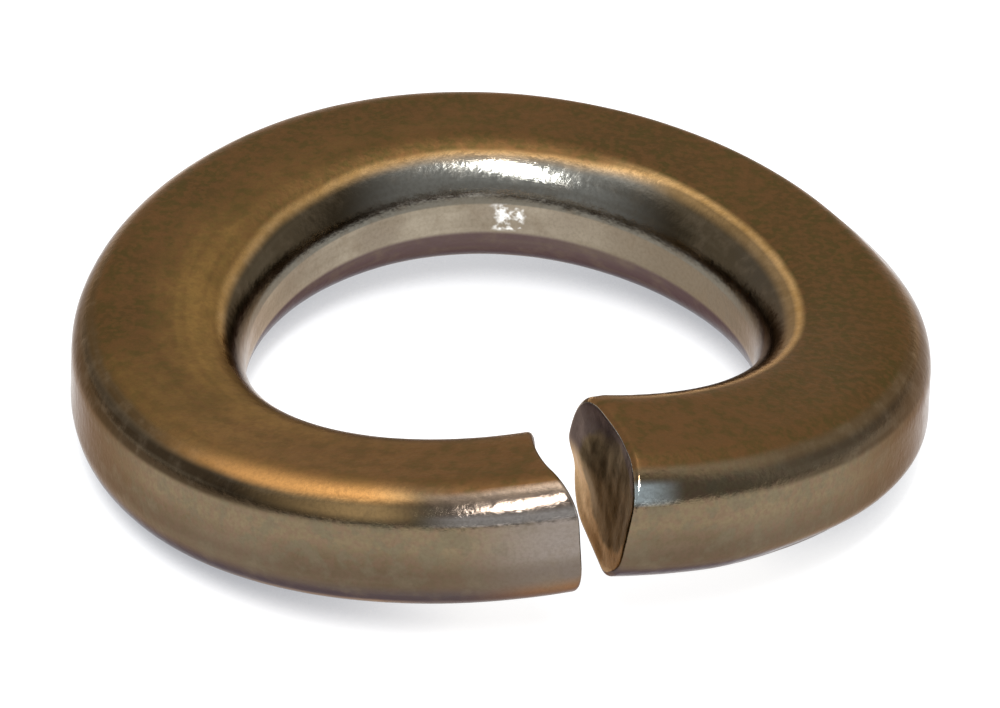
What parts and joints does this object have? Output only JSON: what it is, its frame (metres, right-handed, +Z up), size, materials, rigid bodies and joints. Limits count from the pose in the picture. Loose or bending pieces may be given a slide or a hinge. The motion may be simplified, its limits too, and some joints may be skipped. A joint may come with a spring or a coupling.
{
  "type": "spring lock washer",
  "caption": "Split spring washer: one left-hand turn of rounded bronze bar, its cut ends apart in height, to keep a screw tight.",
  "frame": {"origin": "on the bore's axis, at the height of the washer's lowest point", "axes": "+Z up along the bore's axis; the gap between the ends faces -Y, the raised end is on its +X side"},
  "size_m": [0.0172, 0.0172, 0.0045],
  "materials": {
    "bronze": "tumbled bronze with a thin brown patina, smooth and softly glossy"
  },
  "bodies": {
    "root": {"washer": "bronze"}
  },
  "joints": []
}
